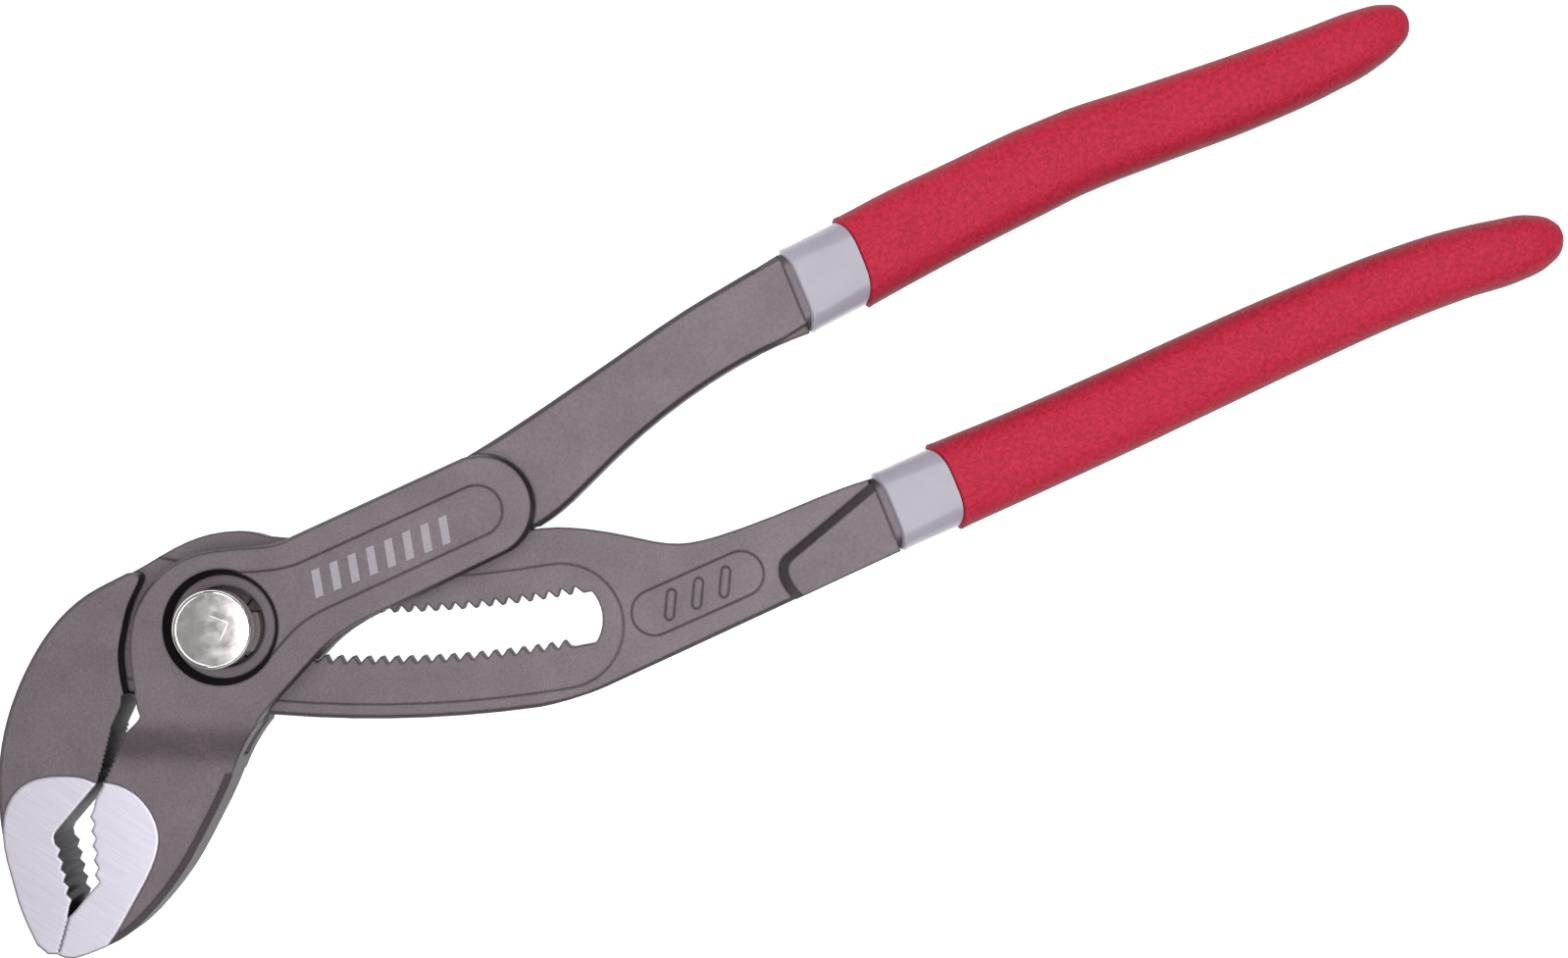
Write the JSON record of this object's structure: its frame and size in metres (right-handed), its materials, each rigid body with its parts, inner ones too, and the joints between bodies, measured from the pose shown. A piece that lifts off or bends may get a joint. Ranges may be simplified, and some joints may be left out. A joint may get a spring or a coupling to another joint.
{
  "type": "tongue and groove pliers",
  "caption": "Box-joint water pump pliers with curved toothed jaws, a push-button bolt in a toothed curved slot and dip-coated handles.",
  "frame": {"origin": "the bolt's axis where it meets the flat back face of the box, at rest in the first notch with the jaws closed", "axes": "+X along the grips towards their ends, +Y across the tool towards the upper handle, +Z along the bolt towards the button"},
  "size_m": [0.2502, 0.0606, 0.0235],
  "materials": {
    "forged_steel": "blackened forging, satin, with ground jaw cheeks",
    "hardened_steel": "oiled dark steel",
    "bright_chrome": "bright nickel-chrome plating",
    "grey_vinyl": "smooth glossy dip coat",
    "red_vinyl": "matt, finely wrinkled dip coat"
  },
  "bodies": {
    "slotted_lever": {"slotted_jaw_lever": "forged_steel", "lower_grey_coat": "grey_vinyl", "lower_red_grip": "red_vinyl"},
    "pivot_core": {"spring_seat": "hardened_steel", "return_spring": "hardened_steel"},
    "outer_lever": {"outer_jaw_lever": "forged_steel", "rear_cover_disc": "forged_steel", "rear_snap_ring": "hardened_steel", "upper_grey_coat": "grey_vinyl", "upper_red_grip": "red_vinyl"},
    "bolt": {"lock_bolt": "hardened_steel", "button_cap": "bright_chrome"}
  },
  "joints": [
    {"name": "notch_slide", "type": "hinge", "parent": "slotted_lever", "child": "pivot_core", "pos_m": [0.0832, 0.14411, 0.008], "axis": [0, 0, 1], "range_deg": [0, 17.11]},
    {"name": "jaw_hinge", "type": "hinge", "parent": "pivot_core", "child": "outer_lever", "pos_m": [0, 0, 0.008], "axis": [0, 0, 1], "range_deg": [0, 35]},
    {"name": "button_press", "type": "slide", "parent": "pivot_core", "child": "bolt", "axis": [0, 0, -1], "range_m": [0, 0.0031], "stiffness_N_per_m": 1300, "springref_m": -0.0031, "deforming": ["return_spring"]}
  ]
}
